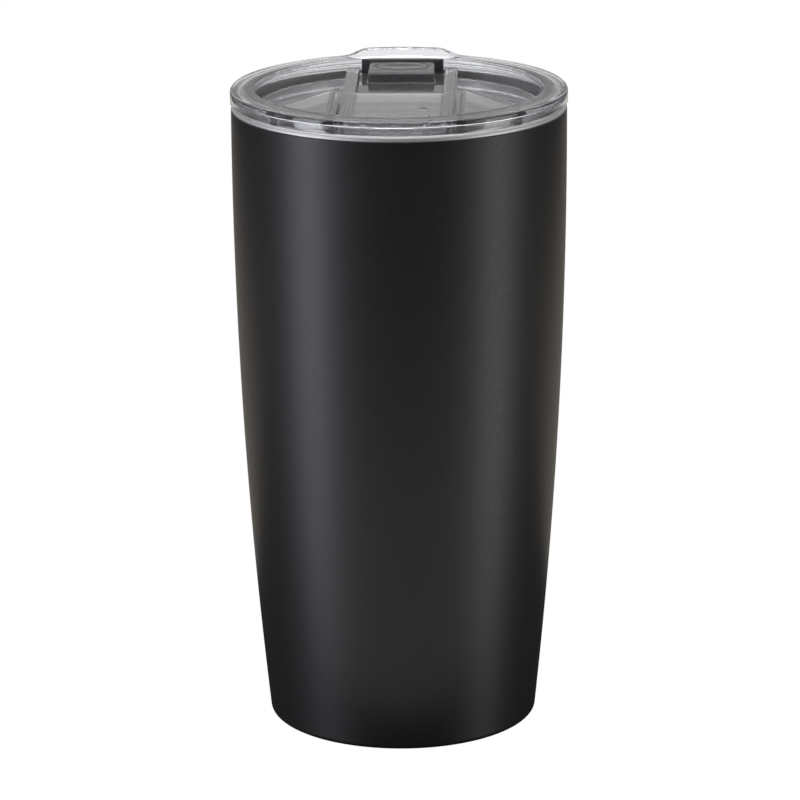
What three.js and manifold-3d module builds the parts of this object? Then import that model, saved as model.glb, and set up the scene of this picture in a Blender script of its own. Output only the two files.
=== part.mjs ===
// Insulated tumbler with a push-on slide lid: a double-wall vacuum cup, and a clear lid whose slider
// covers the drinking hole. Millimetres, +Z up. The origin is the centre of the foot ring, on the
// surface that the cup stands on. The drinking side of the lid faces +Y, and the slider opens towards -Y.

import * as THREE from "three";
import { mergeVertices } from "three/addons/utils/BufferGeometryUtils.js";
import Module from "manifold-3d";

const wasm = await Module();
wasm.setup();

// ---- Driving dimensions ----

const TURN_SIDES = 64; // sides of a turned piece
const SHEET = 0.5; // stainless sheet
const JOIN = 0.1; // air between two pieces that are welded or rest on each other

// Cup
const FOOT_RADIUS = 36.0;
const MOUTH_RADIUS = 44.3;
const CROWN_Z = 160; // where the arc of the side stands upright
const SIDE_ARC = (CROWN_Z ** 2 + (MOUTH_RADIUS - FOOT_RADIUS) ** 2) / (2 * (MOUTH_RADIUS - FOOT_RADIUS));
const LIP_TOP = 168.7;
const LIP_HEIGHT = 1.35;
const LIP_RADIUS = 44.15;
const SHELL_TOP = LIP_TOP - LIP_HEIGHT - JOIN;
const FOOT_ROUND = 1.5;
const FOOT_INNER = 32.6;
const DOUBLE_WALL = 4.0; // outside of the shell to inside of the liner
const NECK_RADIUS = 42.6; // inside of the liner where the lid plugs in
const NECK_BOTTOM = 154;
const SHOULDER_BOTTOM = 146;
const LINER_WELD_Z = 12.6;
const LINER_FLOOR_TOP = 9.5;
const LINER_CORNER = 3;

// Base
const COVER_RADIUS = 34.2;
const COVER_Z = SHEET + JOIN;
const COVER_DISH = 0.9;
const PAN_Z = 3.2;
const PAN_FLANGE_TOP = 7.5;
const SEAL_DIMPLE_RADIUS = 4.5;
const SEAL_DIMPLE_DEPTH = 1.2;
const SEAL_HOLE_RADIUS = 1.2;

// Lid
const LID_TOP = 172.7;
const LID_RADIUS = 44.5;
const RIM_INNER = 38.0;
const BAND_BOTTOM = LIP_TOP + JOIN;
const BAND_INNER = 42.7;
const MOULD_WALL = 1.8;
const RECESS_FLOOR = LID_TOP - 5.0;
const FLOOR_UNDER = RECESS_FLOOR - MOULD_WALL;
const SKIRT_RADIUS = 40.4;
const SKIRT_BOTTOM = 156.5;
const GROOVE_RADIUS = 39.6;
const GROOVE_Z = [159.8, 163.4];
const DECK_SIDE = 15.2; // half width of the bay between the two decks
const DECK_TIP = [32, -23]; // where a deck's rear edge meets the rim
const SPOUT_TOP = LID_TOP + 1.9;
const SPOUT_BASE = 19;
const SPOUT_CREST = 8.6;
const HOLE_HALF = 8.6; // drinking hole
const HOLE_Y = [25.4, 33.4];
const VENT_RADIUS = 0.8;
const FLOOR_VENT = [10.5, -29.5];
const ROOF_VENT = [7, -19];

// Slider
const PLATE_HALF = 12.5;
const PLATE_Y = [-9, 33.9];
const PLATE_Z = [RECESS_FLOOR + 0.2, RECESS_FLOOR + 1.6];
const HEAD_HALF = 8.9;
const HEAD_Y = [20, 33.9];
const HEAD_TOP = LID_TOP - 0.3;
const HEAD_ROLL = 2.2; // round of the head's front edge
const DISH_SIZE = [7.4, 4.8, 1.5];
const PAD_HALF = 12.0;
const PAD_Y = [4.5, 35.1];
const PAD_THICK = 0.7;
const UPSTAND_HALF = 11.1; // the pad turned up behind the head
const UPSTAND_THICK = 1.0;
const UPSTAND_TOP = LID_TOP + 0.3;

// Frame that holds the slider down
const RAIL_OUTER = 15.0;
const RAIL_INNER = 12.8;
const RAIL_LIP = 11.4; // the lips reach in over the plate as far as this
const RAIL_Y = [-33.8, 33.4];
const RAIL_TOP = RECESS_FLOOR + 3.2;
const RAIL_UNDER = PLATE_Z[1] + 0.2;
const ROOF_BACK = 0;
const STOP_BOX_HALF = 8.3;
const STOP_BOX_BACK = -25.5;
const RIB = 1.2;

// ---- Helpers ----

// Even shares from 0 to 1.
function shares(count) {
  return Array.from({ length: count + 1 }, (_, i) => i / count);
}

// Points of an arc in the radius-height plane, from one angle to another in degrees.
function arc(centre, radius, from, to, count) {
  return shares(count).map((share) => {
    const angle = THREE.MathUtils.degToRad(from + (to - from) * share);
    return [centre[0] + radius * Math.cos(angle), centre[1] + radius * Math.sin(angle)];
  });
}

// A solid turned about Z from [radius, height] points that run anticlockwise. A profile that doesn't
// start on the axis is closed on itself.
function turned(profile, sides = TURN_SIDES) {
  const closed = profile[0][0] > 0 ? [...profile, profile[0]] : profile;
  const points = closed.map(([radius, height]) => new THREE.Vector2(radius, height));
  return new THREE.LatheGeometry(points, sides).rotateX(Math.PI / 2);
}

// A prism from an outline of [x, y] points, between two heights.
function prism(outline, bottom, top) {
  const shape = new THREE.Shape(outline.map(([x, y]) => new THREE.Vector2(x, y)));
  return new THREE.ExtrudeGeometry(shape, { depth: top - bottom, bevelEnabled: false }).translate(0, 0, bottom);
}

// A box from its three [low, high] ranges.
function block(x, y, z) {
  const size = [x, y, z].map(([low, high]) => high - low);
  const middle = [x, y, z].map(([low, high]) => (low + high) / 2);
  return new THREE.BoxGeometry(...size).translate(...middle);
}

// A three.js geometry as a manifold-3d solid.
function solid(geometry) {
  const bare = geometry.clone();
  bare.deleteAttribute("normal");
  bare.deleteAttribute("uv");
  const merged = mergeVertices(bare, 1e-4);
  return new wasm.Manifold(
    new wasm.Mesh({
      numProp: 3,
      vertProperties: merged.attributes.position.array,
      triVerts: new Uint32Array(merged.index.array),
    }),
  );
}

// A manifold-3d solid as a three.js geometry.
function geometryOf(made) {
  const mesh = made.getMesh();
  const geometry = new THREE.BufferGeometry()
    .setAttribute("position", new THREE.BufferAttribute(new Float32Array(mesh.vertProperties), 3))
    .setIndex(new THREE.BufferAttribute(new Uint32Array(mesh.triVerts), 1));
  geometry.computeVertexNormals();
  return geometry;
}

function finish(color, roughness, metalness, extra = {}) {
  return new THREE.MeshStandardMaterial({ color, roughness, metalness, ...extra });
}

const MATERIALS = {
  coat: finish(0x1c1c1e, 0.55, 0.2),
  steel: finish(0xb9babd, 0.3, 1),
  copper: finish(0xb8704a, 0.35, 1),
  getterMetal: finish(0x77797c, 0.6, 0.8),
  frit: finish(0x8c9690, 0.2, 0),
  clear: finish(0xdfe4e8, 0.06, 0, { transparent: true, opacity: 0.35 }),
  blackSilicone: finish(0x1a1a1c, 0.7, 0),
};

function piece(name, geometry, material) {
  const mesh = new THREE.Mesh(geometry, material);
  mesh.name = name;
  return mesh;
}

// ---- Cup ----

// Outside of the cup: one long arc from the foot to the mouth.
function sideRadius(z) {
  return MOUTH_RADIUS - SIDE_ARC + Math.sqrt(SIDE_ARC ** 2 - (CROWN_Z - z) ** 2);
}

// Inside of the liner: parallel to the side, then a smooth shoulder out to the straight neck.
function linerRadius(z) {
  const wall = sideRadius(z) - DOUBLE_WALL;
  const share = THREE.MathUtils.smoothstep(z, SHOULDER_BOTTOM, NECK_BOTTOM);
  return wall + (NECK_RADIUS - wall) * share;
}

// The coated outer wall, which turns in at the bottom to make the foot ring.
function outerShell() {
  const heights = shares(6).map((share) => FOOT_ROUND + (SHELL_TOP - FOOT_ROUND) * share);
  const footCentre = [sideRadius(FOOT_ROUND) - FOOT_ROUND, FOOT_ROUND];
  return turned([
    [FOOT_INNER, 0],
    ...arc(footCentre, FOOT_ROUND, -90, 0, 4),
    ...heights.slice(1).map((z) => [sideRadius(z), z]),
    ...heights.slice(1).reverse().map((z) => [sideRadius(z) - SHEET, z]),
    ...arc(footCentre, FOOT_ROUND - SHEET, 0, -90, 3),
    [FOOT_INNER, SHEET],
  ]);
}

// The inner wall, from its weld above the floor up to the bare lip that caps the outer wall.
function liner() {
  const wallHeights = shares(5).map((share) => LINER_WELD_Z + (SHOULDER_BOTTOM - LINER_WELD_Z) * share);
  const shoulderHeights = shares(3).map((share) => SHOULDER_BOTTOM + (NECK_BOTTOM - SHOULDER_BOTTOM) * share);
  const heights = [...wallHeights, ...shoulderHeights.slice(1)];
  const lipUnder = LIP_TOP - LIP_HEIGHT;
  return turned([
    ...heights.map((z) => [linerRadius(z) + SHEET, z]),
    [NECK_RADIUS + SHEET, lipUnder],
    [LIP_RADIUS, lipUnder],
    [LIP_RADIUS, LIP_TOP - 0.3],
    [LIP_RADIUS - 0.3, LIP_TOP],
    [NECK_RADIUS + 0.3, LIP_TOP],
    [NECK_RADIUS, LIP_TOP - 0.3],
    ...heights.slice().reverse().map((z) => [linerRadius(z), z]),
  ]);
}

// The pressed floor of the liner, welded to its wall.
function linerFloor() {
  const top = LINER_WELD_Z - JOIN;
  const radius = linerRadius(top);
  const centre = [radius - LINER_CORNER, LINER_FLOOR_TOP + LINER_CORNER];
  return turned([
    [0, LINER_FLOOR_TOP - SHEET],
    ...arc(centre, LINER_CORNER + SHEET, -90, 0, 4).slice(0, -1),
    [radius + SHEET, top],
    [radius, top],
    ...arc(centre, LINER_CORNER, 0, -90, 4).slice(1),
    [0, LINER_FLOOR_TOP],
  ]);
}

// Reflective copper foil round the liner, inside the vacuum.
function copperFoil() {
  const clearance = SHEET + 0.3;
  const thickness = 0.15;
  const heights = shares(3).map((share) => 20 + (142 - 20) * share);
  return turned([
    ...heights.map((z) => [linerRadius(z) + clearance + thickness, z]),
    ...heights.slice().reverse().map((z) => [linerRadius(z) + clearance, z]),
  ]);
}

// ---- Base ----

// The pan that closes the vacuum, with a flange on the outer wall and a dimple for the seal.
function vacuumPan() {
  const inside = (z) => sideRadius(z) - SHEET - JOIN;
  const flangeTop = PAN_FLANGE_TOP;
  return turned([
    [SEAL_HOLE_RADIUS, PAN_Z + SEAL_DIMPLE_DEPTH],
    [SEAL_DIMPLE_RADIUS - 1, PAN_Z + SEAL_DIMPLE_DEPTH],
    [SEAL_DIMPLE_RADIUS, PAN_Z],
    [inside(PAN_Z), PAN_Z],
    [inside(flangeTop), flangeTop],
    [inside(flangeTop) - SHEET, flangeTop],
    [inside(PAN_Z) - SHEET - 0.3, PAN_Z + SHEET],
    [SEAL_DIMPLE_RADIUS + SHEET, PAN_Z + SHEET],
    [SEAL_DIMPLE_RADIUS - 1 + SHEET, PAN_Z + SEAL_DIMPLE_DEPTH + SHEET],
    [SEAL_HOLE_RADIUS, PAN_Z + SEAL_DIMPLE_DEPTH + SHEET],
  ]);
}

// The glass bead that was melted over the evacuation hole.
function sealBead() {
  const top = PAN_Z + SEAL_DIMPLE_DEPTH - JOIN;
  return turned([[0, top - 1.5], [1.6, top - 1.2], [2.6, top - 0.5], [2.8, top], [0, top]], 24);
}

// The visible disc under the cup: its rim lies on the foot ring and its middle is dished upwards.
function baseCover() {
  const rise = COVER_Z + COVER_DISH;
  return turned([
    [0, rise],
    [FOOT_INNER - 3.6, rise],
    [FOOT_INNER - 2.2, COVER_Z],
    [COVER_RADIUS, COVER_Z],
    [COVER_RADIUS, COVER_Z + SHEET],
    [FOOT_INNER - 2.4, COVER_Z + SHEET],
    [FOOT_INNER - 3.8, rise + SHEET],
    [0, rise + SHEET],
  ]);
}

const GETTER_X = 17;
const GETTER_RADIUS = 4;
const GETTER_BOTTOM = PAN_Z + SHEET + JOIN;
const GETTER_TOP = GETTER_BOTTOM + 2.2;

function getter() {
  return turned(
    [
      [0, GETTER_BOTTOM],
      [GETTER_RADIUS, GETTER_BOTTOM],
      [GETTER_RADIUS, GETTER_TOP],
      [GETTER_RADIUS - 0.8, GETTER_TOP],
      [GETTER_RADIUS - 1.2, GETTER_TOP - 0.4],
      [0, GETTER_TOP - 0.4],
    ],
    32,
  ).translate(GETTER_X, 0, 0);
}

// A bent strap over the getter, with a welding foot at each end.
function getterClip() {
  const strap = 0.4;
  const leg = GETTER_RADIUS + 0.3;
  const foot = leg + 3;
  const roof = GETTER_TOP + 0.2;
  const outline = [
    [-foot, GETTER_BOTTOM],
    [-leg, GETTER_BOTTOM],
    [-leg, roof],
    [leg, roof],
    [leg, GETTER_BOTTOM],
    [foot, GETTER_BOTTOM],
    [foot, GETTER_BOTTOM + strap],
    [leg + strap, GETTER_BOTTOM + strap],
    [leg + strap, roof + strap],
    [-leg - strap, roof + strap],
    [-leg - strap, GETTER_BOTTOM + strap],
    [-foot, GETTER_BOTTOM + strap],
  ];
  const width = 3.6;
  return prism(outline, -width / 2, width / 2).rotateX(Math.PI / 2).translate(GETTER_X, 0, 0);
}

// ---- Lid ----

// One deck beside the slider's bay, seen from above. The right deck has side 1 and the left deck -1.
// An inset deck is smaller by that much along its straight edges, and reaches out to the given radius.
function deckOutline(side, inset, reach) {
  const near = DECK_SIDE + inset;
  const tip = [DECK_TIP[0] - 0.2 * inset, DECK_TIP[1] - 1.2 * inset];
  const from = Math.atan2(-Math.sqrt(reach ** 2 - near ** 2), near);
  const to = Math.atan2(tip[1], tip[0]);
  const rim = shares(8).map((share) => {
    const angle = from + (to - from) * share;
    return [reach * Math.cos(angle), reach * Math.sin(angle)];
  });
  const outline = [...rim, [near, -1.7 * inset]];
  return side > 0 ? outline : outline.map(([x, y]) => [-x, y]).reverse();
}

// The ring section: a hollow rim over the cup's lip, the recessed floor, and the skirt that plugs in.
function lidProfile() {
  const skirtInner = SKIRT_RADIUS - MOULD_WALL;
  const coreTop = LID_TOP - MOULD_WALL;
  return [
    [0, FLOOR_UNDER],
    [skirtInner, FLOOR_UNDER],
    [skirtInner, SKIRT_BOTTOM],
    [SKIRT_RADIUS - 0.6, SKIRT_BOTTOM],
    [SKIRT_RADIUS, SKIRT_BOTTOM + 0.8],
    [SKIRT_RADIUS, GROOVE_Z[0]],
    [GROOVE_RADIUS, GROOVE_Z[0]],
    [GROOVE_RADIUS, GROOVE_Z[1]],
    [SKIRT_RADIUS, GROOVE_Z[1]],
    [SKIRT_RADIUS, coreTop],
    [BAND_INNER, coreTop],
    [BAND_INNER, BAND_BOTTOM],
    [LID_RADIUS, BAND_BOTTOM],
    ...arc([LID_RADIUS - 0.9, LID_TOP - 0.9], 0.9, 0, 90, 3),
    ...arc([RIM_INNER + 0.6, LID_TOP - 0.6], 0.6, 90, 180, 2),
    [RIM_INNER - 0.4, RECESS_FLOOR],
    [0, RECESS_FLOOR],
  ];
}

// The raised drinking lip: a crest along the rim, kept to a smooth bump at the back.
function spout() {
  const crest = turned([
    [RIM_INNER + 1.2, LID_TOP - 0.6],
    [LID_RADIUS, LID_TOP - 0.9],
    [LID_RADIUS - 0.1, LID_TOP + 0.4],
    [LID_RADIUS - 1.0, SPOUT_TOP],
    [LID_RADIUS - 2.8, SPOUT_TOP],
    [RIM_INNER + 1.2, LID_TOP - 0.1],
  ]);
  const rise = shares(8).map((share) => {
    const x = SPOUT_BASE + (SPOUT_CREST - SPOUT_BASE) * share;
    return [x, LID_TOP - 1 + (SPOUT_TOP - LID_TOP + 1.05) * THREE.MathUtils.smoothstep(share, 0, 1)];
  });
  const outline = [...rise, ...rise.map(([x, z]) => [-x, z]).reverse()];
  const bump = prism(outline, -LID_RADIUS - 1, -30).rotateX(Math.PI / 2);
  return solid(crest).intersect(solid(bump));
}

// The rounded slot that the drinker sips through.
function drinkingHole() {
  const radius = (HOLE_Y[1] - HOLE_Y[0]) / 2;
  const middle = (HOLE_Y[0] + HOLE_Y[1]) / 2;
  const end = HOLE_HALF - radius;
  const outline = [...arc([end, middle], radius, -90, 90, 8), ...arc([-end, middle], radius, 90, 270, 8)];
  return prism(outline, FLOOR_UNDER - 1, RECESS_FLOOR + 0.2);
}

// A small upright hole through a sheet.
function ventHole([x, y], bottom, top) {
  return new THREE.CylinderGeometry(VENT_RADIUS, VENT_RADIUS, top - bottom, 12)
    .rotateX(Math.PI / 2)
    .translate(x, y, (bottom + top) / 2);
}

function lidBody() {
  let made = solid(turned(lidProfile())).add(spout());
  for (const side of [1, -1]) {
    const deck = prism(deckOutline(side, 0, RIM_INNER + 1), RECESS_FLOOR - 0.5, LID_TOP);
    const core = prism(deckOutline(side, MOULD_WALL, RIM_INNER - 0.6), FLOOR_UNDER - 1, LID_TOP - MOULD_WALL);
    made = made.add(solid(deck)).subtract(solid(core));
  }
  const cuts = [drinkingHole(), ventHole(FLOOR_VENT, FLOOR_UNDER - 1, RECESS_FLOOR + 1)];
  return geometryOf(cuts.reduce((body, cut) => body.subtract(solid(cut)), made));
}

// Two hollow rails whose lips hold the slider down, with a roof over its front end. The box under the
// roof is the slider's end stop.
function slideFrame() {
  const bottom = RECESS_FLOOR + JOIN;
  const parts = [
    block([-RAIL_OUTER, RAIL_OUTER], [RAIL_Y[0], ROOF_BACK], [RAIL_UNDER, RAIL_TOP]),
    block([-RAIL_OUTER, RAIL_OUTER], [RAIL_Y[0], RAIL_Y[0] + RIB], [bottom, RAIL_TOP]),
    block([-STOP_BOX_HALF, STOP_BOX_HALF], [RAIL_Y[0], STOP_BOX_BACK], [bottom, RAIL_TOP]),
    block([RAIL_INNER, RAIL_OUTER], RAIL_Y, [bottom, RAIL_TOP]),
    block([-RAIL_OUTER, -RAIL_INNER], RAIL_Y, [bottom, RAIL_TOP]),
    block([RAIL_LIP, RAIL_OUTER], RAIL_Y, [RAIL_UNDER, RAIL_TOP]),
    block([-RAIL_OUTER, -RAIL_LIP], RAIL_Y, [RAIL_UNDER, RAIL_TOP]),
  ];
  const boxCore = [STOP_BOX_HALF - RIB, [RAIL_Y[0] + RIB, STOP_BOX_BACK - RIB]];
  const slot = [RAIL_INNER + 0.75, RAIL_OUTER - 0.75];
  const slotY = [RAIL_Y[0] + RIB, RAIL_Y[1] - RIB];
  const slotTop = RAIL_TOP - 0.8;
  const cuts = [
    block([-boxCore[0], boxCore[0]], boxCore[1], [bottom - 1, RAIL_UNDER]),
    block(slot, slotY, [bottom - 1, slotTop]),
    block([-slot[1], -slot[0]], slotY, [bottom - 1, slotTop]),
    ventHole(ROOF_VENT, RAIL_UNDER - 1, RAIL_TOP + 1),
  ];
  const joined = parts.map(solid).reduce((sum, next) => sum.add(next));
  return geometryOf(cuts.map(solid).reduce((sum, next) => sum.subtract(next), joined));
}

// The clear plate that slides under the rails. Its head fills the way to the spout and is dished for
// a thumb.
function slider() {
  const plate = block([-PLATE_HALF, PLATE_HALF], PLATE_Y, PLATE_Z);
  const pocket = block(
    [-PAD_HALF - JOIN, PAD_HALF + JOIN],
    [PAD_Y[0] - JOIN, PLATE_Y[1] + 1],
    [PLATE_Z[0] - 1, RECESS_FLOOR + JOIN + PAD_THICK + JOIN],
  );
  const low = PLATE_Z[1] - 0.5;
  const rolled = arc([HEAD_Y[0] + HEAD_ROLL, HEAD_TOP - HEAD_ROLL], HEAD_ROLL, 90, 180, 6);
  const side = [[HEAD_Y[0], low], [HEAD_Y[1], low], [HEAD_Y[1], HEAD_TOP], ...rolled];
  // The prism stands on its outline, so it is laid down with its length along X.
  const head = prism(side, -HEAD_HALF, HEAD_HALF).rotateX(Math.PI / 2).rotateZ(Math.PI / 2);
  const dish = new THREE.SphereGeometry(1, 32, 12)
    .scale(...DISH_SIZE)
    .translate(0, (HEAD_Y[0] + HEAD_Y[1]) / 2, HEAD_TOP);
  return geometryOf(solid(plate).subtract(solid(pocket)).add(solid(head)).subtract(solid(dish)));
}

// The soft pad under the plate that closes the drinking hole, and turns up behind the head.
function sliderPad() {
  const low = RECESS_FLOOR + JOIN;
  const sheet = block([-PAD_HALF, PAD_HALF], PAD_Y, [low, low + PAD_THICK]);
  const upstandY = [PAD_Y[1] - UPSTAND_THICK, PAD_Y[1]];
  const upstand = block([-UPSTAND_HALF, UPSTAND_HALF], upstandY, [low, UPSTAND_TOP]);
  return geometryOf(solid(sheet).add(solid(upstand)));
}

// The soft ring in the skirt's groove, with two lips that wipe the liner's neck.
function lidGasket() {
  const inner = GROOVE_RADIUS + 0.3;
  const [low, high] = [GROOVE_Z[0] + 0.2, GROOVE_Z[1] - 0.2];
  const body = SKIRT_RADIUS + 0.6;
  const lip = NECK_RADIUS - 0.35;
  return turned([
    [inner, low],
    [body, low],
    [lip, low + 0.6],
    [lip, low + 1.0],
    [body, low + 1.3],
    [body, high - 1.3],
    [lip, high - 0.8],
    [lip, high - 0.4],
    [body, high],
    [inner, high],
  ]);
}

// ---- Assembly ----

const tumbler = new THREE.Group();

const cup = new THREE.Group();
cup.add(
  piece("outer_shell", outerShell(), MATERIALS.coat),
  piece("liner", liner(), MATERIALS.steel),
  piece("liner_floor", linerFloor(), MATERIALS.steel),
  piece("copper_foil", copperFoil(), MATERIALS.copper),
  piece("vacuum_pan", vacuumPan(), MATERIALS.steel),
  piece("vacuum_seal_bead", sealBead(), MATERIALS.frit),
  piece("base_cover", baseCover(), MATERIALS.steel),
  piece("getter", getter(), MATERIALS.getterMetal),
  piece("getter_clip", getterClip(), MATERIALS.steel),
);

const lid = new THREE.Group();
lid.add(
  piece("lid_body", lidBody(), MATERIALS.clear),
  piece("slide_frame", slideFrame(), MATERIALS.clear),
  piece("slider", slider(), MATERIALS.clear),
  piece("slider_pad", sliderPad(), MATERIALS.blackSilicone),
  piece("lid_gasket", lidGasket(), MATERIALS.blackSilicone),
);

tumbler.add(cup, lid);

export default tumbler;
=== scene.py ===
"""Insulated tumbler with slide lid: the looks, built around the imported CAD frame.

Lengths in the shape code are millimetres; MM turns them into the frame's metres. The front is -Y, on
the camera's side. The raised lip and the drinking hole are at the back, on +Y.
"""

import math

import bpy
import numpy as np
import openvdb
from mathutils import Matrix, Vector


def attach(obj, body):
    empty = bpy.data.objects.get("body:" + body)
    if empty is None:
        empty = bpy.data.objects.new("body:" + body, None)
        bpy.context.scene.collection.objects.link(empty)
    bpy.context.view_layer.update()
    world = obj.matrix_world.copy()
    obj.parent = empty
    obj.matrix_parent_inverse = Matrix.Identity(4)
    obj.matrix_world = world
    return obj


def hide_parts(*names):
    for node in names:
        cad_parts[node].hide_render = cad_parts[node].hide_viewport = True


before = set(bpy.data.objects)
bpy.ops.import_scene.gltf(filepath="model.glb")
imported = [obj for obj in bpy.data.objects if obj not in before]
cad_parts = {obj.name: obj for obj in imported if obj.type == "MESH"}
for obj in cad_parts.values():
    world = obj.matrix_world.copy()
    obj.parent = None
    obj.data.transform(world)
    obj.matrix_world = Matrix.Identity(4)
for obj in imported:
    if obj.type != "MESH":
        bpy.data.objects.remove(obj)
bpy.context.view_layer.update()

MM = 0.001

# ---- Sizes shared with the CAD model ----

# Cup
SHEET = 0.5  # stainless sheet
JOIN = 0.1  # air between two pieces that are welded or rest on each other
FOOT_RADIUS = 36.0
MOUTH_RADIUS = 44.3
CROWN_Z = 160.0  # where the arc of the side stands upright
SIDE_ARC = (CROWN_Z**2 + (MOUTH_RADIUS - FOOT_RADIUS) ** 2) / (2 * (MOUTH_RADIUS - FOOT_RADIUS))
LIP_TOP = 168.7
LIP_HEIGHT = 1.35
LIP_RADIUS = 44.15
SHELL_TOP = LIP_TOP - LIP_HEIGHT - JOIN
FOOT_ROUND = 1.5
FOOT_INNER = 32.6
DOUBLE_WALL = 4.0  # outside of the shell to inside of the liner
NECK_RADIUS = 42.6  # inside of the liner where the lid plugs in
NECK_BOTTOM = 154.0
SHOULDER_BOTTOM = 146.0
LINER_WELD_Z = 12.6
LINER_FLOOR_TOP = 9.5
LINER_CORNER = 3.0
COVER_RADIUS = 34.2
COVER_Z = SHEET + JOIN
COVER_DISH = 0.9

# Lid
LID_TOP = 172.7
LID_RADIUS = 44.5
RIM_INNER = 38.0
BAND_BOTTOM = LIP_TOP + JOIN
BAND_INNER = 42.7
MOULD_WALL = 1.8
RECESS_FLOOR = LID_TOP - 5.0
FLOOR_UNDER = RECESS_FLOOR - MOULD_WALL
SKIRT_RADIUS = 40.4
SKIRT_BOTTOM = 156.5
GROOVE_RADIUS = 39.6
GROOVE_Z = (159.8, 163.4)
DECK_SIDE = 15.2  # half width of the bay between the two decks
DECK_TIP = (32.0, -23.0)  # where a deck's rear edge meets the rim
SPOUT_TOP = LID_TOP + 1.9
SPOUT_BASE = 19.0  # half width of the raised lip where it leaves the rim
SPOUT_CREST = 8.6  # half width of its level top
HOLE_HALF = 8.6
HOLE_Y = (25.4, 33.4)
VENT_RADIUS = 0.8
FLOOR_VENT = (10.5, -29.5)
ROOF_VENT = (7.0, -19.0)

# Slider and pad
PLATE_HALF = 12.5
PLATE_Y = (-9.0, 33.9)
PLATE_Z = (RECESS_FLOOR + 0.2, RECESS_FLOOR + 1.6)
HEAD_HALF = 8.9
HEAD_Y = (20.0, 33.9)
HEAD_TOP = LID_TOP - 0.3
HEAD_ROLL = 2.2  # round of the head's front edge
DISH_SIZE = (7.4, 4.8, 1.5)
PAD_HALF = 12.0
PAD_Y = (4.5, 35.1)
PAD_THICK = 0.7
UPSTAND_HALF = 11.1  # the pad turned up behind the head
UPSTAND_THICK = 1.0
UPSTAND_TOP = LID_TOP + 0.3

# Frame over the slider
RAIL_OUTER = 15.0
RAIL_INNER = 12.8
RAIL_LIP = 11.4  # the lips reach in over the plate as far as this
RAIL_Y = (-33.8, 33.4)
RAIL_TOP = RECESS_FLOOR + 3.2
RAIL_UNDER = PLATE_Z[1] + 0.2
ROOF_BACK = 0.0
STOP_BOX_HALF = 8.3
STOP_BOX_BACK = -25.5
RIB = 1.2


# ---- Camera ----

# It looks a little down on the cup, which is turned slightly, and tilts by less than half a degree.
CAMERA_TURN = math.radians(1.8)
CAMERA_PITCH = math.radians(16.14)
CAMERA_ROLL = math.radians(-0.41)
CAMERA_DISTANCE = 1.0794
CAMERA_HEIGHT = 0.39904
CAMERA_SIDE = -0.00028
CAMERA_LENS = 188.06
SENSOR_WIDTH = 36


def add_camera():
    data = bpy.data.cameras.new("camera")
    data.lens = CAMERA_LENS
    data.sensor_width = SENSOR_WIDTH
    camera = bpy.data.objects.new("camera", data)
    bpy.context.scene.collection.objects.link(camera)
    turned = Matrix.Rotation(CAMERA_TURN, 4, "Z")
    place = Matrix.Translation((CAMERA_SIDE, -CAMERA_DISTANCE, CAMERA_HEIGHT))
    tilt = Matrix.Rotation(math.pi / 2 - CAMERA_PITCH, 4, "X")
    roll = Matrix.Rotation(CAMERA_ROLL, 4, "Z")
    camera.matrix_world = turned @ place @ tilt @ roll
    bpy.context.scene.camera = camera


add_camera()


# ---- Turned pieces ----


def arc(centre, radius, start, end, count):
    """Points of an arc in the radius-height plane, between two angles in degrees."""
    points = []
    for i in range(count + 1):
        angle = math.radians(start + (end - start) * i / count)
        points.append((centre[0] + radius * math.cos(angle), centre[1] + radius * math.sin(angle)))
    return points


def spread(low, high, count):
    """Values from low to high in equal steps."""
    return [low + (high - low) * i / count for i in range(count + 1)]


def mesh_object(name, vertices, faces, smooth=True):
    mesh = bpy.data.meshes.new(name)
    mesh.from_pydata(vertices, [], faces)
    mesh.validate()
    mesh.update()
    made = bpy.data.objects.new(name, mesh)
    bpy.context.scene.collection.objects.link(made)
    if smooth:
        mesh.shade_smooth()
    return made


SHARP_ANGLE = math.radians(40.0)  # a turned piece keeps an edge that is sharper than this


def turned(name, profile, sides):
    """A closed solid turned about Z from (radius, height) points that run anticlockwise."""
    on_axis = profile[0][0] == 0
    vertices, rings = [], []
    for radius, height in profile:
        if radius == 0:
            rings.append([len(vertices)] * sides)
            vertices.append((0, 0, height * MM))
            continue
        rings.append(list(range(len(vertices), len(vertices) + sides)))
        for i in range(sides):
            angle = 2 * math.pi * i / sides
            point = (radius * math.cos(angle), radius * math.sin(angle), height)
            vertices.append(tuple(length * MM for length in point))
    pairs = list(zip(rings, rings[1:])) + ([] if on_axis else [(rings[-1], rings[0])])
    faces = []
    for low, high in pairs:
        for i in range(sides):
            j = (i + 1) % sides
            corners = [low[i], low[j], high[j], high[i]]
            faces.append([v for k, v in enumerate(corners) if v != corners[k - 1]])
    made = mesh_object(name, vertices, faces)
    made.data.set_sharp_from_angle(angle=SHARP_ANGLE)
    return made


def side_radius(z):
    """Outside of the cup: one long arc from the foot to the mouth."""
    return MOUTH_RADIUS - SIDE_ARC + math.sqrt(SIDE_ARC**2 - (CROWN_Z - z) ** 2)


def smoothstep(z, low, high):
    share = min(max((z - low) / (high - low), 0), 1)
    return share * share * (3 - 2 * share)


def liner_radius(z):
    """Inside of the liner: parallel to the side, then a shoulder out to the straight neck."""
    wall = side_radius(z) - DOUBLE_WALL
    return wall + (NECK_RADIUS - wall) * smoothstep(z, SHOULDER_BOTTOM, NECK_BOTTOM)


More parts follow.
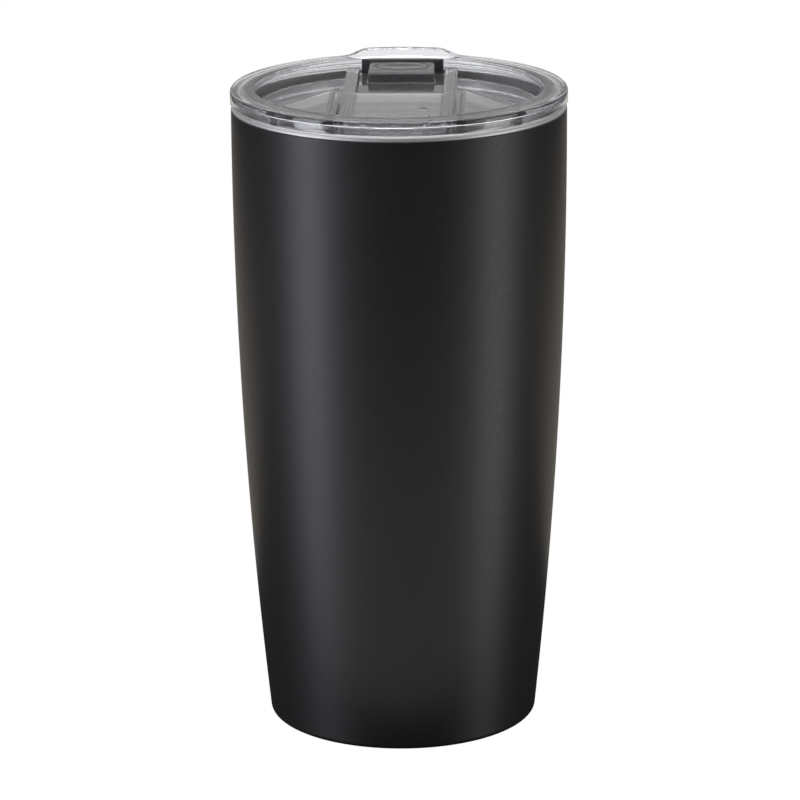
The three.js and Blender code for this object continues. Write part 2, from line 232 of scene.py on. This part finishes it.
def outer_shell():
    """The coated outer wall, which turns in at the bottom to make the foot ring."""
    edge = 0.22
    foot_edge = 0.15
    heights = spread(FOOT_ROUND, SHELL_TOP - edge, 40)
    centre = (side_radius(FOOT_ROUND) - FOOT_ROUND, FOOT_ROUND)
    top_radius = side_radius(SHELL_TOP)
    profile = [(FOOT_INNER, foot_edge), (FOOT_INNER + foot_edge, 0)]
    profile += arc(centre, FOOT_ROUND, -90, 0, 10)
    profile += [(side_radius(z), z) for z in heights[1:]]
    profile += arc((top_radius - edge, SHELL_TOP - edge), edge, 15, 90, 4)
    profile += [(side_radius(z) - SHEET, z) for z in reversed(heights[1:])]
    profile += arc(centre, FOOT_ROUND - SHEET, 0, -90, 8)
    profile += [(FOOT_INNER, SHEET)]
    return turned("shell", profile, 320)


def inner_wall():
    """The inner wall, from its weld above the floor up to the bare rolled lip."""
    heights = spread(LINER_WELD_Z, SHOULDER_BOTTOM, 30)
    heights += spread(SHOULDER_BOTTOM, NECK_BOTTOM, 12)[1:]
    under = LIP_TOP - LIP_HEIGHT
    under_edge = 0.1
    roll = LIP_HEIGHT - under_edge
    inner_edge = 0.25
    profile = [(liner_radius(z) + SHEET, z) for z in heights]
    profile += [(NECK_RADIUS + SHEET, under)]
    profile += [(LIP_RADIUS - under_edge, under)]
    profile += arc((LIP_RADIUS - roll, LIP_TOP - roll), roll, 0, 90, 14)
    profile += arc((NECK_RADIUS + inner_edge, LIP_TOP - inner_edge), inner_edge, 90, 180, 6)
    profile += [(liner_radius(z), z) for z in reversed(heights)]
    return turned("inner_wall", profile, 256)


def inner_floor():
    """The pressed floor of the liner, which turns up to its weld."""
    top = LINER_WELD_Z - JOIN
    radius = liner_radius(top)
    centre = (radius - LINER_CORNER, LINER_FLOOR_TOP + LINER_CORNER)
    profile = [(0, LINER_FLOOR_TOP - SHEET)]
    profile += arc(centre, LINER_CORNER + SHEET, -90, 0, 14)[:-1]
    profile += [(radius + SHEET, top), (radius, top)]
    profile += arc(centre, LINER_CORNER, 0, -90, 14)[1:]
    profile += [(0, LINER_FLOOR_TOP)]
    return turned("inner_floor", profile, 192)


def base_disc():
    """The visible disc: its rim lies on the foot ring and its middle is dished upwards."""
    rise = COVER_Z + COVER_DISH
    slope_start = FOOT_INNER - 4.2
    slope_length = 2.4
    set_in = 0.2
    under = [
        (slope_start + slope_length * share, rise - COVER_DISH * smoothstep(share, 0, 1))
        for share in spread(0, 1, 10)
    ]
    over = [(radius - set_in, height + SHEET) for radius, height in reversed(under)]
    rim = [(COVER_RADIUS, COVER_Z), (COVER_RADIUS, COVER_Z + SHEET)]
    return turned("base_disc", [(0, rise), *under, *rim, *over, (0, rise + SHEET)], 192)


def gasket():
    """A soft ring in the skirt's groove, with two lips that stand just clear of the neck."""
    inner = GROOVE_RADIUS + 0.3
    low, high = GROOVE_Z[0] + 0.2, GROOVE_Z[1] - 0.2
    body = SKIRT_RADIUS + 0.6
    lip_reach = NECK_RADIUS - 0.35
    lip_round = 0.2
    edge = 0.15
    waist = 1.3  # where a lip ends and the plain body begins, from either face
    lower_lip, upper_lip = low + 0.8, high - 0.6
    tip = lip_reach - lip_round
    profile = [(inner, low + edge), (inner + edge, low), (body, low)]
    profile += arc((tip, lower_lip), lip_round, -90, 90, 6)
    profile += [(body, low + waist), (body, high - waist)]
    profile += arc((tip, upper_lip), lip_round, -90, 90, 6)
    profile += [(body, high), (inner + edge, high), (inner, high - edge)]
    return turned("gasket_ring", profile, 192)


# ---- Moulded pieces, from signed distances ----
# Distances are in millimetres and negative inside. Each piece is a sum of simple solids on a grid,
# with rounded joins and edges, and its skin is where the distance is zero. A grid's box holds its
# piece with half a millimetre or more to spare.

FAR = 1e9
RADIUS_STEP = 0.05  # spacing of the radii at which a turned outline is measured
ADAPTIVITY = 0.01  # how far flat stretches of a skin may be thinned out
BAND_STEPS = 3  # distances are kept to this many grid steps from the skin
TINY = 1e-12


def outline_distance(x, y, outline):
    """Signed distance from (x, y) to a polygon."""
    best = np.full(np.broadcast(x, y).shape, FAR)
    inside = np.zeros(best.shape, bool)
    for (ax, ay), (bx, by) in zip(outline, outline[1:] + outline[:1]):
        ex, ey = bx - ax, by - ay
        share = np.clip(((x - ax) * ex + (y - ay) * ey) / (ex * ex + ey * ey), 0, 1)
        best = np.minimum(best, np.hypot(x - ax - share * ex, y - ay - share * ey))
        crosses = (ay > y) != (by > y)
        if ey:
            inside ^= crosses & (x < ax + (y - ay) * ex / ey)
    return np.where(inside, -best, best)


class Grid:
    """A box of sample points, and the solids that are measured on it."""

    def __init__(self, low, high, step):
        self.step = step
        self.low = np.array(low, float)
        count = [int(math.ceil((b - a) / step)) + 1 for a, b in zip(low, high)]
        axes = [self.low[i] + step * np.arange(count[i]) for i in range(3)]
        self.x = axes[0][:, None, None]
        self.y = axes[1][None, :, None]
        self.z = axes[2][None, None, :]

    def turned(self, profile):
        """A solid turned about Z, measured on one half plane and looked up by radius."""
        radius = np.hypot(self.x, self.y)
        samples = np.arange(0, radius.max() + 4 * RADIUS_STEP, RADIUS_STEP)
        outline = profile if profile[0][0] > 0 else mirrored(profile)
        table = outline_distance(samples[:, None], self.z[0, 0][None, :], outline)
        place = radius[:, :, 0] / RADIUS_STEP
        index = place.astype(int)
        share = (place - index)[:, :, None]
        return table[index] * (1 - share) + table[index + 1] * share

    def slab(self, bottom, top):
        return np.abs(self.z - (bottom + top) / 2) - (top - bottom) / 2

    def prism(self, outline, bottom, top, edge=0.3):
        flat = outline_distance(self.x[:, :, 0], self.y[:, :, 0], outline)[:, :, None]
        return both(flat, self.slab(bottom, top), edge)

    def block(self, x, y, z, edge=0.25):
        """A box from its three (low, high) ranges, with its edges rounded."""
        sides = [
            np.abs(axis - (low + high) / 2) - (high - low) / 2 + edge
            for axis, (low, high) in zip((self.x, self.y, self.z), (x, y, z))
        ]
        outside = np.sqrt(sum(np.maximum(side, 0) ** 2 for side in sides))
        deepest = np.maximum(np.maximum(sides[0], sides[1]), sides[2])
        return outside + np.minimum(deepest, 0) - edge

    def upright(self, centre, radius, bottom, top, edge=0.05):
        """A round bar that stands on end."""
        flat = np.hypot(self.x - centre[0], self.y - centre[1]) - radius
        return both(flat, self.slab(bottom, top), edge)


def mirrored(profile):
    """A half profile that touches the axis, as a whole outline across it."""
    return profile + [(-radius, height) for radius, height in reversed(profile) if radius > 0]


def both(a, b, round_off):
    """What two solids share, with its edge rounded off."""
    corner = np.hypot(np.maximum(a + round_off, 0), np.maximum(b + round_off, 0))
    return np.minimum(np.maximum(a, b), -round_off) + corner


def joined(a, b, fillet):
    """Two solids as one, with a fillet where they meet."""
    corner = np.hypot(np.maximum(fillet - a, 0), np.maximum(fillet - b, 0))
    return np.maximum(np.minimum(a, b), fillet) - corner


def without(a, b, round_off):
    """The first solid with the second cut out of it, and the cut's edge rounded off."""
    return both(a, -b, round_off)


def skin(name, grid, distance):
    """The closed surface where the distance is zero, with normals taken from the distance itself."""
    band = BAND_STEPS * grid.step
    field = openvdb.FloatGrid(band)
    field.copyFromArray(np.ascontiguousarray(np.clip(distance, -band, band), dtype=np.float32))
    points, triangles, quads = field.convertToPolygons(0.0, ADAPTIVITY)
    slope = np.stack(np.gradient(np.clip(distance, -band, band)), axis=-1)
    base = np.clip(points.astype(int), 0, np.array(distance.shape) - 2)
    share = points - base
    normals = np.zeros(points.shape)
    for corner in np.ndindex(2, 2, 2):
        weight = np.prod(np.where(corner, share, 1 - share), axis=1)
        at = base + corner
        normals += weight[:, None] * slope[at[:, 0], at[:, 1], at[:, 2]]
    normals /= np.linalg.norm(normals, axis=1)[:, None] + TINY
    places = (points * grid.step + grid.low) * MM
    faces = [tuple(f) for f in triangles] + [tuple(f) for f in quads]
    a, b, c = (places[[f[k] for f in faces]] for k in range(3))
    first_normals = normals[[f[0] for f in faces]]
    facing = np.einsum("ij,ij->i", np.cross(b - a, c - a), first_normals).sum()
    if facing < 0:
        faces = [tuple(reversed(f)) for f in faces]
    made = mesh_object(name, places.tolist(), faces)
    if len(made.data.vertices) == len(normals):
        made.data.normals_split_custom_set_from_vertices(normals.tolist())
    return made


def deck_outline(side, inset, reach):
    """A deck from above: an arc of the rim, and two straight edges that meet beside the bay.

    The inset draws in the edges for the hollow under the deck: the rear one slants, so its ends move by
    more than the inset, and the far end also moves a little inwards.
    """
    near = DECK_SIDE + inset
    tip = (DECK_TIP[0] - 0.2 * inset, DECK_TIP[1] - 1.2 * inset)
    start = math.degrees(math.atan2(-math.sqrt(reach**2 - near**2), near))
    end = math.degrees(math.atan2(tip[1], tip[0]))
    outline = arc((0, 0), reach, start, end, 40) + [(near, -1.7 * inset)]
    return outline if side > 0 else [(-x, y) for x, y in reversed(outline)]


def lid_profile():
    """The round lid cut through its axis: recess, rim, band over the cup's lip, and skirt."""
    skirt_inner = SKIRT_RADIUS - MOULD_WALL
    core_top = LID_TOP - MOULD_WALL
    lead_in = (0.6, 0.8)
    skirt_round, band_round, rim_round, recess_round = 0.3, 0.3, 0.9, 0.6
    draft = 0.4
    return (
        [(0, FLOOR_UNDER), (skirt_inner, FLOOR_UNDER), (skirt_inner, SKIRT_BOTTOM + skirt_round)]
        + [(skirt_inner + skirt_round, SKIRT_BOTTOM), (SKIRT_RADIUS - lead_in[0], SKIRT_BOTTOM)]
        + [(SKIRT_RADIUS, SKIRT_BOTTOM + lead_in[1]), (SKIRT_RADIUS, GROOVE_Z[0])]
        + [(GROOVE_RADIUS, GROOVE_Z[0]), (GROOVE_RADIUS, GROOVE_Z[1]), (SKIRT_RADIUS, GROOVE_Z[1])]
        + [(SKIRT_RADIUS, core_top), (BAND_INNER, core_top), (BAND_INNER, BAND_BOTTOM)]
        + arc((LID_RADIUS - band_round, BAND_BOTTOM + band_round), band_round, -90, 0, 4)
        + arc((LID_RADIUS - rim_round, LID_TOP - rim_round), rim_round, 0, 90, 10)
        + arc((RIM_INNER + recess_round, LID_TOP - recess_round), recess_round, 90, 180, 8)
        + [(RIM_INNER - draft, RECESS_FLOOR), (0, RECESS_FLOOR)]
    )


def spout_distance(grid):
    """The raised lip: a ring on the rim, kept only at the back and under a ceiling that swells up."""
    start_y = 25  # the ring is cut away in front of this
    sunk = 1  # how deep the ceiling starts inside the rim
    crest = [
        (RIM_INNER + 1.2, LID_TOP - 0.6),
        (LID_RADIUS - 0.15, LID_TOP - 0.9),
        (LID_RADIUS - 0.2, LID_TOP + 0.4),
        (LID_RADIUS - 0.5, SPOUT_TOP - 0.3),
        (LID_RADIUS - 1.0, SPOUT_TOP),
        (LID_RADIUS - 2.8, SPOUT_TOP),
        (RIM_INNER + 1.2, LID_TOP - 0.1),
    ]
    wall = grid.turned(crest)
    across = np.clip((SPOUT_BASE - np.abs(grid.x)) / (SPOUT_BASE - SPOUT_CREST), 0, 1)
    rise = across * across * (3 - 2 * across)
    ceiling = LID_TOP - sunk + (SPOUT_TOP - LID_TOP + sunk + 0.05) * rise
    swell = np.maximum(grid.z - ceiling, start_y - grid.y)
    return both(wall, swell, 0.3)


def hole_outline(grid, wider=0.0):
    """Signed distance, seen from above, to the round-ended drinking hole or to a wider one."""
    radius = (HOLE_Y[1] - HOLE_Y[0]) / 2
    middle = (HOLE_Y[0] + HOLE_Y[1]) / 2
    past_end = np.maximum(np.abs(grid.x) - (HOLE_HALF - radius), 0)
    return np.hypot(past_end, grid.y - middle) - (radius + wider)


def hole_distance(grid):
    depth = 4
    return np.maximum(hole_outline(grid), np.abs(grid.z - RECESS_FLOOR) - depth)


def clear_lid():
    grid = Grid((-45.6, -45.6, 155.4), (45.6, 45.6, 175.8), 0.4)
    core_bottom, core_top = FLOOR_UNDER - 4, LID_TOP - MOULD_WALL
    lid = grid.turned(lid_profile())
    for side in (1, -1):
        deck = grid.prism(deck_outline(side, 0, RIM_INNER + 1), RECESS_FLOOR - 1, LID_TOP, 0.35)
        lid = joined(lid, deck, 0.35)
    for side in (1, -1):
        outline = deck_outline(side, MOULD_WALL, RIM_INNER - 0.6)
        lid = without(lid, grid.prism(outline, core_bottom, core_top), 0.2)
    lid = joined(lid, spout_distance(grid), 0.5)
    lid = without(lid, hole_distance(grid), 0.35)
    vent = grid.upright(FLOOR_VENT, VENT_RADIUS, FLOOR_UNDER - 2, RECESS_FLOOR + 2)
    return skin("clear_lid", grid, without(lid, vent, 0.1))


def rail_frame():
    """The frame over the slider: a roof, a stop box under it, and two hollow rails with lips."""
    grid = Grid((-15.9, -34.7, 166.9), (15.9, 34.3, 171.8), 0.25)
    bottom = RECESS_FLOOR + JOIN
    cut_bottom = bottom - 2
    fillet = 0.15
    rail_skin, rail_roof = 0.75, 0.8
    across = (-RAIL_OUTER, RAIL_OUTER)
    front_rib = (RAIL_Y[0], RAIL_Y[0] + RIB)
    box_half = (-STOP_BOX_HALF, STOP_BOX_HALF)
    made = grid.block(across, (RAIL_Y[0], ROOF_BACK), (RAIL_UNDER, RAIL_TOP))
    made = joined(made, grid.block(across, front_rib, (bottom, RAIL_TOP)), fillet)
    made = joined(made, grid.block(box_half, (RAIL_Y[0], STOP_BOX_BACK), (bottom, RAIL_TOP)), fillet)
    for side in (1, -1):
        for near, low in ((RAIL_INNER, bottom), (RAIL_LIP, RAIL_UNDER)):
            reach = sorted((side * near, side * RAIL_OUTER))
            made = joined(made, grid.block(reach, RAIL_Y, (low, RAIL_TOP)), fillet)
    inner = STOP_BOX_HALF - RIB
    box_y = (RAIL_Y[0] + RIB, STOP_BOX_BACK - RIB)
    made = without(made, grid.block((-inner, inner), box_y, (cut_bottom, RAIL_UNDER)), 0.12)
    slot_y = (RAIL_Y[0] + RIB, RAIL_Y[1] - RIB)
    for side in (1, -1):
        reach = sorted((side * (RAIL_INNER + rail_skin), side * (RAIL_OUTER - rail_skin)))
        slot = grid.block(reach, slot_y, (cut_bottom, RAIL_TOP - rail_roof), 0.1)
        made = without(made, slot, 0.1)
    vent = grid.upright(ROOF_VENT, VENT_RADIUS, RAIL_UNDER - 2, RAIL_TOP + 2)
    return skin("rail_frame", grid, without(made, vent, 0.15))


def thumb_slider():
    """The sliding plate, with a pocket for the pad and a dished head, rolled at its front edge."""
    grid = Grid((-13.4, -9.9, 167.0), (13.4, 35.5, 173.3), 0.25)
    plate = grid.block((-PLATE_HALF, PLATE_HALF), PLATE_Y, PLATE_Z, 0.3)
    pocket = grid.block(
        (-PAD_HALF - JOIN, PAD_HALF + JOIN),
        (PAD_Y[0] - JOIN, PLATE_Y[1] + 1),
        (PLATE_Z[0] - 2, RECESS_FLOOR + PAD_THICK + 2 * JOIN),
        0.1,
    )
    made = without(plate, pocket, 0.05)
    low = PLATE_Z[1] - 0.5  # the head starts inside the plate
    outline = [(HEAD_Y[0], low), (HEAD_Y[1], low), (HEAD_Y[1], HEAD_TOP)]
    outline += arc((HEAD_Y[0] + HEAD_ROLL, HEAD_TOP - HEAD_ROLL), HEAD_ROLL, 90, 180, 12)
    upright = outline_distance(grid.y[0, :, :], grid.z[0, :, :], outline)[None]
    made = joined(made, both(upright, np.abs(grid.x) - HEAD_HALF, 0.5), 0.4)
    middle = (HEAD_Y[0] + HEAD_Y[1]) / 2
    scaled = np.sqrt(
        (grid.x / DISH_SIZE[0]) ** 2
        + ((grid.y - middle) / DISH_SIZE[1]) ** 2
        + ((grid.z - HEAD_TOP) / DISH_SIZE[2]) ** 2
    )
    dish = (scaled - 1) * DISH_SIZE[2]
    return skin("thumb_slider", grid, without(made, dish, 0.25))


def soft_pad():
    """The dark pad: a sheet under the plate, turned up behind the head.

    A raised rib runs round the drinking hole, so the rest of its face stands back from the lid's floor.
    """
    grid = Grid((-12.6, PAD_Y[0] - 0.6, 167.3), (12.6, PAD_Y[1] + 0.6, UPSTAND_TOP + 0.5), 0.2)
    low = RECESS_FLOOR + JOIN
    fill = 0.13  # closes the pocket's air gap and sinks 0.03 into the plate, so no film of air shows
    top = low + PAD_THICK + fill
    made = grid.block((-PAD_HALF, PAD_HALF), PAD_Y, (low, top), 0.15)
    across = (-UPSTAND_HALF, UPSTAND_HALF)
    upstand = grid.block(across, (PAD_Y[1] - UPSTAND_THICK, PAD_Y[1]), (low, UPSTAND_TOP), 0.25)
    made = joined(made, upstand, 0.15)
    rib_from_hole, rib_half, rib_height = 1.3, 0.5, 0.2
    rib = np.abs(hole_outline(grid, rib_from_hole)) - rib_half
    relief = np.maximum(grid.z - low - rib_height, -rib)
    return skin("soft_pad", grid, without(made, relief, 0.05))


# ---- Materials ----

GRAIN_RANGE = (0.3, 0.7)  # where nearly all values of the noise lie


def new_material(name, color, roughness, metallic=0.0, **sockets):
    material = bpy.data.materials.new(name)
    material.use_nodes = True
    shader = material.node_tree.nodes["Principled BSDF"]
    values = {"Base Color": (*color, 1), "Roughness": roughness, "Metallic": metallic, **sockets}
    for socket, value in values.items():
        shader.inputs[socket].default_value = value
    return material


def add_node(material, kind, inputs=(), **settings):
    node = material.node_tree.nodes.new(kind)
    for key, value in settings.items():
        setattr(node, key, value)
    for socket, value in dict(inputs).items():
        if isinstance(value, bpy.types.NodeSocket):
            material.node_tree.links.new(value, node.inputs[socket])
        else:
            node.inputs[socket].default_value = value
    return node


def to_shader(material, socket, value):
    shader = material.node_tree.nodes["Principled BSDF"]
    material.node_tree.links.new(value, shader.inputs[socket])


def object_place(material):
    return add_node(material, "ShaderNodeTexCoord").outputs["Object"]


def remap(material, value, low, high, source=(0.0, 1.0)):
    """A value of the source range brought to the range from low to high."""
    inputs = {"Value": value, "From Min": source[0], "From Max": source[1]}
    inputs |= {"To Min": low, "To Max": high}
    return add_node(material, "ShaderNodeMapRange", inputs).outputs["Result"]


def noise(material, place, scale, detail=2.0, roughness=0.5):
    inputs = {"Vector": place, "Scale": scale, "Detail": detail, "Roughness": roughness}
    return add_node(material, "ShaderNodeTexNoise", inputs).outputs["Fac"]


def stretched(material, place, factors):
    """A place with its axes scaled, so that what is drawn there runs along one of them."""
    inputs = {0: place, 1: factors}
    return add_node(material, "ShaderNodeVectorMath", inputs, operation="MULTIPLY").outputs[0]


def blend_colors(material, share, first, second):
    inputs = {0: share, 6: (*first, 1), 7: (*second, 1)}  # the sockets of the node's colour mode
    return add_node(material, "ShaderNodeMix", inputs, data_type="RGBA").outputs[2]


def bump(material, height, strength, distance):
    inputs = {"Height": height, "Strength": strength, "Distance": distance}
    to_shader(material, "Normal", add_node(material, "ShaderNodeBump", inputs).outputs["Normal"])


def powder_coat():
    """Matt black coat with a fine pebbled skin and faint clouding."""
    made = new_material("powder_paint", (0.012, 0.012, 0.0125), 0.42)
    place = object_place(made)
    clouds = noise(made, place, 28, 3)
    grains = noise(made, place, 1700, 3, 0.6)
    tint = blend_colors(made, clouds, (0.0105, 0.0105, 0.011), (0.0135, 0.0135, 0.014))
    to_shader(made, "Base Color", tint)
    to_shader(made, "Roughness", remap(made, grains, 0.38, 0.47, GRAIN_RANGE))
    bump(made, grains, 0.25, 0.00004)
    return made


def brushed_steel(name, streaks):
    """Stainless steel. The streaks are the factors that stretch its grain."""
    color = (0.76, 0.755, 0.75)
    made = new_material(name, color, 0.57, 1.0)
    place = object_place(made)
    grain = noise(made, stretched(made, place, streaks), 1, 3, 0.6)
    patches = noise(made, place, 45, 2)
    darker = tuple(0.86 * c for c in color)
    to_shader(made, "Base Color", blend_colors(made, patches, darker, color))
    to_shader(made, "Roughness", remap(made, grain, 0.5, 0.65, GRAIN_RANGE))
    bump(made, grain, 0.12, 0.00002)
    return made


def spun_steel():
    """Stainless disc with the fine rings that a lathe leaves."""
    made = new_material("spun_steel", (0.56, 0.555, 0.55), 0.3, 1.0)
    place = object_place(made)
    flat = stretched(made, place, (1, 1, 0))
    radius = add_node(made, "ShaderNodeVectorMath", {0: flat}, operation="LENGTH").outputs["Value"]
    inputs = {"W": radius, "Scale": 2600, "Detail": 3}
    rings = add_node(made, "ShaderNodeTexNoise", inputs, noise_dimensions="1D").outputs["Fac"]
    to_shader(made, "Roughness", remap(made, rings, 0.22, 0.4, GRAIN_RANGE))
    tint = blend_colors(made, noise(made, place, 60), (0.5, 0.5, 0.49), (0.6, 0.595, 0.59))
    to_shader(made, "Base Color", tint)
    bump(made, rings, 0.2, 0.00002)
    return made


def clear_plastic():
    """Clear copolyester, a little smoky where it is thick, with the faint waviness of a moulding."""
    sockets = {"Transmission Weight": 0.97, "IOR": 1.5}
    made = new_material("clear_copolyester", (1, 1, 1), 0.03, **sockets)
    place = object_place(made)
    haze = noise(made, place, 160, 2)
    to_shader(made, "Roughness", remap(made, haze, 0.015, 0.06, (0.35, 0.7)))
    bump(made, noise(made, place, 90, 2), 0.05, 0.0002)
    inputs = {"Color": (0.5, 0.515, 0.56, 1), "Density": 110.0}
    smoke = add_node(made, "ShaderNodeVolumeAbsorption", inputs)
    output = made.node_tree.nodes["Material Output"]
    made.node_tree.links.new(smoke.outputs["Volume"], output.inputs["Volume"])
    return made


def silicone(name, first, second, roughness):
    """Soft rubber, clouded between two tints, with a fine matt skin."""
    made = new_material(name, first, roughness)
    place = object_place(made)
    to_shader(made, "Base Color", blend_colors(made, noise(made, place, 300, 3), first, second))
    fine = noise(made, place, 2500, 2)
    to_shader(made, "Roughness", remap(made, fine, roughness - 0.08, roughness + 0.08, GRAIN_RANGE))
    bump(made, fine, 0.2, 0.00003)
    return made


def plain_metal(name, first, second, roughness, scale):
    """Bare metal, or a metal powder, mottled between two tints."""
    made = new_material(name, first, roughness, 1.0)
    place = object_place(made)
    pattern = noise(made, place, scale, 4, 0.6)
    to_shader(made, "Base Color", blend_colors(made, pattern, first, second))
    to_shader(made, "Roughness", remap(made, pattern, roughness - 0.1, roughness + 0.1, GRAIN_RANGE))
    bump(made, pattern, 0.3, 0.0001)
    return made


def glass_bead():
    made = new_material("glass_bead", (0.35, 0.42, 0.37), 0.12, IOR=1.52)
    swirl = noise(made, object_place(made), 900, 3)
    to_shader(made, "Base Color", blend_colors(made, swirl, (0.28, 0.35, 0.3), (0.45, 0.52, 0.47)))
    to_shader(made, "Roughness", remap(made, swirl, 0.08, 0.2))
    return made


# ---- Pieces ----


def place_piece(piece, body, nodes, material):
    piece.data.materials.append(material)
    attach(piece, body)
    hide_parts(*nodes)


wall_steel = brushed_steel("brushed_steel", (25, 25, 5200))
spun = spun_steel()
clear = clear_plastic()
dark = silicone("dark_rubber", (0.07, 0.07, 0.075), (0.09, 0.09, 0.096), 0.5)

place_piece(outer_shell(), "cup", ["outer_shell"], powder_coat())
place_piece(inner_wall(), "cup", ["liner"], wall_steel)
place_piece(inner_floor(), "cup", ["liner_floor"], spun)
place_piece(base_disc(), "cup", ["base_cover"], spun)
place_piece(gasket(), "gasket", ["lid_gasket"], dark)
place_piece(clear_lid(), "lid", ["lid_body"], clear)
place_piece(rail_frame(), "lid", ["slide_frame"], clear)
place_piece(thumb_slider(), "slide", ["slider"], clear)
place_piece(soft_pad(), "slide", ["slider_pad"], dark)


def coat_node(name, material):
    """A new material on a hidden piece that keeps its CAD shape."""
    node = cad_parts[name]
    node.data.materials.clear()
    node.data.materials.append(material)


foil = plain_metal("copper_foil_skin", (0.72, 0.38, 0.24), (0.8, 0.46, 0.3), 0.3, 90)
powder = plain_metal("getter_powder", (0.2, 0.2, 0.21), (0.3, 0.3, 0.31), 0.65, 2500)
coat_node("copper_foil", foil)
coat_node("vacuum_pan", spun)
coat_node("vacuum_seal_bead", glass_bead())
coat_node("getter", powder)
coat_node("getter_clip", brushed_steel("clip_steel", (5200, 25, 25)))


# ---- Studio ----


def glowing_plane(name, corners, strength):
    """A flat sheet that gives off white light of its own and takes none."""
    made = mesh_object(name, corners, [(0, 1, 2, 3)], smooth=False)
    values = {"Specular IOR Level": 0.0, "Emission Color": (1, 1, 1, 1), "Emission Strength": strength}
    made.data.materials.append(new_material(name, (0, 0, 0), 1.0, **values))
    return made


def softbox(name, place, target, size, power, color=(1, 1, 1)):
    """A rectangular light at a place, turned to face its target."""
    data = bpy.data.lights.new(name, "AREA")
    data.shape = "RECTANGLE"
    data.size, data.size_y = size
    data.energy = power
    data.color = color
    lamp = bpy.data.objects.new(name, data)
    bpy.context.scene.collection.objects.link(lamp)
    lamp.location = place
    lamp.rotation_euler = (Vector(target) - Vector(place)).to_track_quat("-Z", "Y").to_euler()
    return lamp


# The floor is seen but lights nothing; the lights on the table below do that for it.
FLOOR_REACH = 6.0
floor_corners = [
    (-FLOOR_REACH, -FLOOR_REACH, 0),
    (FLOOR_REACH, -FLOOR_REACH, 0),
    (FLOOR_REACH, FLOOR_REACH, 0),
    (-FLOOR_REACH, FLOOR_REACH, 0),
]
floor = glowing_plane("floor", floor_corners, 1.0)
floor.visible_glossy = False
floor.visible_diffuse = False
floor.visible_shadow = False

BACKDROP_Y = 2.2
BACKDROP_HALF = 2.6
BACKDROP_Z = (0.02, 2.4)
backdrop_corners = [
    (-BACKDROP_HALF, BACKDROP_Y, BACKDROP_Z[0]),
    (BACKDROP_HALF, BACKDROP_Y, BACKDROP_Z[0]),
    (BACKDROP_HALF, BACKDROP_Y, BACKDROP_Z[1]),
    (-BACKDROP_HALF, BACKDROP_Y, BACKDROP_Z[1]),
]
glowing_plane("backdrop", backdrop_corners, 0.5)

softbox("left_box", (-0.72, -0.39, 0.2), (0, 0, 0.2), (0.31, 0.95), 4.3, (0.91, 0.92, 1.0))
softbox("right_box", (0.8, -0.28, 0.1), (0, 0, 0.1), (0.32, 0.95), 2.6, (1.0, 0.99, 0.97))
softbox("top_box", (0.0, 0.2, 0.95), (0, 0, 0.17), (1.6, 1.2), 14.0)

# Light that the pale table throws up, in front of the cup and behind it.
TABLE_LIGHT_Z = 0.001
table_lights = (
    ("table_front", -0.18, (0.7, 0.25), 0.26, (1, 1, 1)),
    ("table_back", 0.7, (0.8, 1.2), 1.5, (1.0, 0.9, 0.78)),
)
for name, y, size, power, color in table_lights:
    lamp = softbox(name, (0, y, TABLE_LIGHT_Z), (0, y, 1), size, power, color)
    lamp.visible_camera = False
    lamp.visible_transmission = False

world = bpy.data.worlds.new("studio")
world.use_nodes = True
world.node_tree.nodes["Background"].inputs["Color"].default_value = (0.025, 0.025, 0.026, 1)
bpy.context.scene.world = world

scene = bpy.context.scene
scene.view_settings.view_transform = "Standard"
scene.cycles.max_bounces = 24
scene.cycles.transmission_bounces = 24
scene.cycles.glossy_bounces = 8
